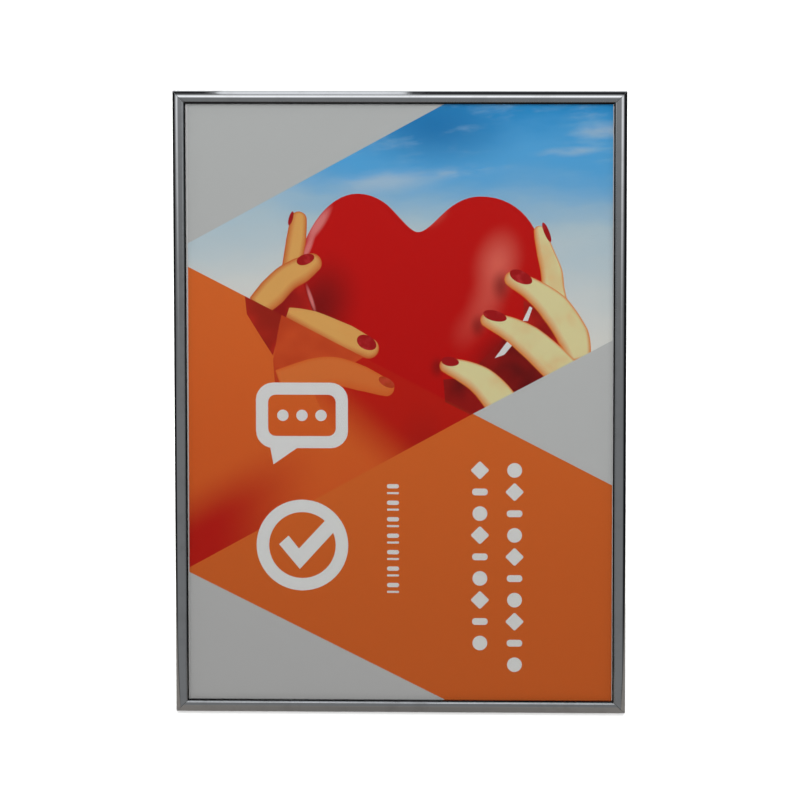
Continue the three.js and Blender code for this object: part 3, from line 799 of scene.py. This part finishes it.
def soft_light(name, place, target, width, height, power):
    data = bpy.data.lights.new(name, "AREA")
    data.shape = "RECTANGLE"
    data.size, data.size_y = width, height
    data.energy = power
    light = bpy.data.objects.new(name, data)
    light.location = place
    light.visible_glossy = False
    scene.collection.objects.link(light)
    aim(light, target)
    return light


def lobe(t, direction, azimuth, elevation, inner, outer, squash=1.0):
    """1 near a direction (degrees: azimuth 0 is in front, + to the right), fading to 0 at the outer angle."""
    a, e = math.radians(azimuth), math.radians(elevation)
    centre = Vector((math.sin(a) * math.cos(e), -math.cos(a) * math.cos(e), math.sin(e)))
    away = t.vector("SUBTRACT", direction, tuple(centre))
    reach = t.vector("LENGTH", t.vector("MULTIPLY", away, (1, 1, squash)))
    near, far = 2 * math.sin(math.radians(inner) / 2), 2 * math.sin(math.radians(outer) / 2)
    return t.smooth(reach, near, far, 1.0, 0.0)


def studio_world():
    """The room that the chrome mirrors: soft light in front, less of it behind, dark sides and ceiling."""
    world = bpy.data.worlds.new("studio")
    scene.world = world
    t = Tree(world)
    direction = t.add("ShaderNodeTexCoord").outputs["Generated"]
    parts = t.add("ShaderNodeSeparateXYZ", {"Vector": direction})
    up = parts.outputs["Z"]
    tone = t.mix(t.smooth(up, -0.45, -0.12), (0.02, 0.02, 0.02, 1), (0.165, 0.17, 0.175, 1))
    around = t.maths("ARCTAN2", parts.outputs["X"], t.maths("MULTIPLY", parts.outputs["Y"], -1.0))
    dark_right = t.smooth(around, math.radians(48), math.radians(80))
    dark_left = t.smooth(around, math.radians(-86), math.radians(-70), 1.0, 0.0)
    beside = t.smooth(t.maths("ABSOLUTE", around), math.radians(118), math.radians(150), 1.0, 0.0)
    dark = t.maths("MULTIPLY", t.maths("MAXIMUM", dark_right, dark_left), beside)
    tone = t.mix(dark, tone, (0.006, 0.006, 0.007, 1))
    tone = t.mix(t.smooth(up, 0.86, 0.985), tone, (0.012, 0.012, 0.014, 1))
    tone = t.mix(lobe(t, direction, 0, 30, 4, 27), tone, (1.05, 1.07, 1.1, 1))
    behind = t.maths("MULTIPLY", lobe(t, direction, 180, 25, 8, 46, 1.4), 0.9)
    tone = t.mix(behind, tone, (0.9, 0.92, 0.94, 1))
    path = t.add("ShaderNodeLightPath")
    tone = t.mix(path.outputs["Is Diffuse Ray"], tone, (0.24, 0.24, 0.24, 1))
    shown = t.mix(path.outputs["Is Camera Ray"], tone, (0.95, 0.955, 0.96, 1))
    background = t.add("ShaderNodeBackground", {"Color": shown, "Strength": 1.0})
    t.add("ShaderNodeOutputWorld", {"Surface": background.outputs[0]})


def only_mirrored(obj):
    obj.visible_camera = False
    obj.visible_diffuse = False
    obj.visible_shadow = False
    obj.visible_transmission = False


def glowing(name, tone_of):
    mat, t = material(name)
    t.finish(t.add("ShaderNodeEmission", {"Color": tone_of(t), "Strength": 1.0}).outputs[0])
    return mat


def quad(name, corners):
    """A stage piece of one face."""
    mesh = bpy.data.meshes.new(name)
    mesh.from_pydata(corners, [], [(0, 1, 2, 3)])
    obj = bpy.data.objects.new(name, mesh)
    scene.collection.objects.link(obj)
    return obj


def light_wall():
    """A tall curved sweep round the front that glows more with height; only the metal mirrors it."""
    radius, low, high, steps = 3.2, 0.25, 2.7, 48
    start, end = math.radians(-78), math.radians(62)
    points, faces = [], []
    for i in range(steps + 1):
        a = start + (end - start) * i / steps
        points += [(radius * math.sin(a), -radius * math.cos(a), z) for z in (low, high)]
    for i in range(steps):
        faces.append((2 * i, 2 * i + 2, 2 * i + 3, 2 * i + 1))
    mesh = bpy.data.meshes.new("light_wall")
    mesh.from_pydata(points, [], faces)

    def tone(t):
        parts = t.add("ShaderNodeSeparateXYZ", {"Vector": object_space(t)})
        height = parts.outputs["Z"]
        around = t.maths("ARCTAN2", parts.outputs["X"], t.maths("MULTIPLY", parts.outputs["Y"], -1.0))
        rise = t.smooth(height, 0.9, 2.6)
        left = t.smooth(around, math.radians(-20), math.radians(-45))
        right = t.smooth(around, math.radians(15), math.radians(35))
        side = t.maths("MULTIPLY", t.maths("MAXIMUM", left, right), t.smooth(height, 0.55, 1.15))
        level = t.maths("MAXIMUM", rise, t.maths("MULTIPLY", side, 0.8))
        streak = t.noise(t.place(object_space(t), (0, 0, 0), 0, (1, 1, 9)), 2.8, 3, 0.6)
        level = t.maths("MULTIPLY", level, t.maths("MULTIPLY_ADD", streak, 1.6, 0.2), clamp=True)
        colour = t.mix(level, (0.16, 0.165, 0.17, 1), (1.05, 1.07, 1.1, 1))
        ends = t.maths(
            "MULTIPLY",
            t.smooth(around, math.radians(-72), math.radians(-58)),
            t.smooth(around, math.radians(62), math.radians(48), 0.0, 1.0),
        )
        return t.mix(ends, (0.1, 0.1, 0.1, 1), colour)

    mesh.materials.append(glowing("light_wall", tone))
    obj = bpy.data.objects.new("light_wall", mesh)
    scene.collection.objects.link(obj)
    only_mirrored(obj)


def glowing_floor_reflection():
    """A glowing disc, seen only in the metal, that stands in for the pale floor round the board: a painted
    reflection, dimmer in the middle, brighter further out and dark beyond.
    """
    mesh = bpy.data.meshes.new("glowing_floor_reflection")
    reach, height, steps = 0.95, 0.0004, 48
    turns = (2 * math.pi * k / steps for k in range(steps))
    ring = [(reach * math.cos(a), reach * math.sin(a), height) for a in turns]
    mesh.from_pydata(ring, [], [tuple(range(steps))])

    def tone(t):
        away = t.vector("LENGTH", object_space(t))
        # Painted reflection: the glow is dimmer in the middle, brighter further out, and falls to dark beyond
        lit = t.mix(t.smooth(away, 0.0, 0.5), (0.13, 0.125, 0.12, 1), (0.23, 0.215, 0.2, 1))
        return t.mix(t.smooth(away, 0.5, 0.93), lit, (0.02, 0.02, 0.02, 1))

    mesh.materials.append(glowing("glowing_floor_reflection", tone))
    obj = bpy.data.objects.new("glowing_floor_reflection", mesh)
    scene.collection.objects.link(obj)
    only_mirrored(obj)


def overhead_panel():
    """A lit panel above the board's left half, mirrored in the top rail."""
    height, half = 1.25, 0.36
    x0, x1 = -0.252, -0.012
    corners = [(x0, -half, height), (x1, -half, height), (x1, half, height), (x0, half, height)]
    obj = quad("overhead_panel", corners)

    def tone(t):
        streak = t.noise(t.place(object_space(t), (0, 0, 0), 0, (6, 1, 1)), 9, 2)
        return t.mix(streak, (0.5, 0.52, 0.55, 1), (0.95, 0.97, 1.0, 1))

    obj.data.materials.append(glowing("overhead_panel", tone))
    only_mirrored(obj)


def floor():
    """A plain pale floor that only the camera sees, so that it doesn't light the chrome from below."""
    reach = 20
    obj = quad("floor", [(-reach, -reach, 0), (reach, -reach, 0), (reach, reach, 0), (-reach, reach, 0)])
    mat, t = material("floor")
    cloud = t.noise(object_space(t), 1.5, 3)
    tone = t.mix(cloud, (0.9, 0.9, 0.9, 1), (0.93, 0.93, 0.93, 1))
    t.finish(t.add("ShaderNodeBsdfDiffuse", {"Color": tone}).outputs[0])
    obj.data.materials.append(mat)
    obj.visible_diffuse = False
    obj.visible_glossy = False


def studio():
    studio_world()
    light_wall()
    overhead_panel()
    glowing_floor_reflection()
    floor()
    sun = bpy.data.lights.new("overhead", "SUN")
    sun.energy = 3.3
    sun.angle = math.radians(70)
    sun.use_shadow = False
    overhead = bpy.data.objects.new("overhead", sun)
    overhead.location = (0, 0, 4)
    scene.collection.objects.link(overhead)
    lit = bpy.data.collections.new("floor_only")
    lit.objects.link(bpy.data.objects["floor"])
    overhead.light_linking.receiver_collection = lit
    soft_light("front_soft_box", (0.0, -2.2, 1.7), (0, 0, 0.4), 2.4, 1.4, 24.3)
    soft_light("back_soft_box", (0.2, 2.2, 2.6), (0, 0, 0.45), 2.4, 1.4, 40)


CAMERA_TURN = {"azimuth": 2.37, "elevation": 19.0, "roll": -0.58}
CAMERA_DISTANCE = 5.8
CAMERA_LENS = 227.1
FRAME_STANDS = 3 * MM  # how far the frame's face stands in front of the poster
AIM_OFFSET = Vector((0.0002, 0, 0.0048))  # from the middle of the frame to the middle of the picture


def camera():
    """Looks at the front leaf nearly square on, from a little above and to the right of its middle."""
    corner, right, up, out = PLANES["front"]
    middle = corner + right * (POSTER_WIDTH / 2 * MM) + up * (POSTER_HEIGHT / 2 * MM) + out * FRAME_STANDS
    azimuth, elevation, roll = (math.radians(angle) for angle in CAMERA_TURN.values())
    level_share = math.cos(elevation)
    forward = Vector(
        (-math.sin(azimuth) * level_share, math.cos(azimuth) * level_share, -math.sin(elevation))
    )
    level = forward.cross(Vector((0, 0, 1))).normalized()
    above = level.cross(forward)
    across = level * math.cos(roll) + above * math.sin(roll)
    upward = -level * math.sin(roll) + above * math.cos(roll)
    data = bpy.data.cameras.new("camera")
    data.sensor_width = 36
    data.lens = CAMERA_LENS
    obj = bpy.data.objects.new("camera", data)
    turn = Matrix((across, upward, -forward)).transposed().to_4x4()
    obj.matrix_world = Matrix.Translation(middle + AIM_OFFSET - forward * CAMERA_DISTANCE) @ turn
    scene.collection.objects.link(obj)
    scene.camera = obj


# ---------------------------------------------------------------- dressing the CAD


def smooth_shaded(obj, angle=24):
    """Joins the facets of round stretches and keeps the section's corners sharp."""
    mesh = obj.data
    if "custom_normal" in mesh.attributes:
        mesh.attributes.remove(mesh.attributes["custom_normal"])
    for name in ("sharp_edge", "sharp_face"):
        if name in mesh.attributes:
            mesh.attributes.remove(mesh.attributes[name])
    mesh.shade_smooth()
    weld = obj.modifiers.new("weld", "WELD")
    weld.merge_threshold = 0.00001
    split = obj.modifiers.new("corners", "EDGE_SPLIT")
    split.split_angle = math.radians(angle)
    split.use_edge_sharp = False


def dress(obj, mat):
    obj.data.materials.clear()
    obj.data.materials.append(mat)


def dress_cad():
    mirrors = {"bottom": 0, "top": 0, "left": 2, "right": 2}
    lying = {leaf: mirror_metal(f"bright_profile_lying_{leaf}", 0, leaf) for leaf in LEAVES}
    upright = {leaf: mirror_metal(f"bright_profile_upright_{leaf}", 2, leaf) for leaf in LEAVES}
    rail_lying = satin_metal("anodised_rail_lying", (0.62, 0.63, 0.64), 0.36, 0)
    rail_upright = satin_metal("anodised_rail_upright", (0.62, 0.63, 0.64), 0.36, 2)
    spring = satin_metal("spring_strip", (0.42, 0.43, 0.45), 0.28, 0, 1500)
    plated = satin_metal("zinc_plate", (0.6, 0.61, 0.63), 0.38)
    pin = satin_metal("bright_pin", (0.66, 0.66, 0.67), 0.26)
    board, rubber, clear = board_plastic(), foot_rubber(), clear_sheet()
    kinds = {
        "leaf_spring": spring,
        "corner_key": plated,
        "backing_panel": board,
        "clear_cover_sheet": clear,
        "foot": rubber,
        "hinge_plate": plated,
        "hinge_pin": pin,
        "stay_bracket": plated,
        "slotted_stay": plated,
        "stay_pivot_rivet": pin,
        "stay_slot_stud": pin,
    }
    for name, obj in nodes.items():
        side = name.rsplit("_", 1)[-1]
        if "snap_cover" in name:
            dress(obj, (upright if mirrors[side] else lying)[name.split("_")[0]])
            smooth_shaded(obj)
        elif "base_rail" in name:
            dress(obj, rail_upright if mirrors[side] else rail_lying)
            smooth_shaded(obj)
        else:
            for kind, mat in kinds.items():
                if kind in name:
                    dress(obj, mat)
            if "poster" not in name:
                smooth_shaded(obj, 32)


camera()
studio()
dress_cad()
inks = picture_inks()
for leaf in LEAVES:
    poster(leaf, inks)
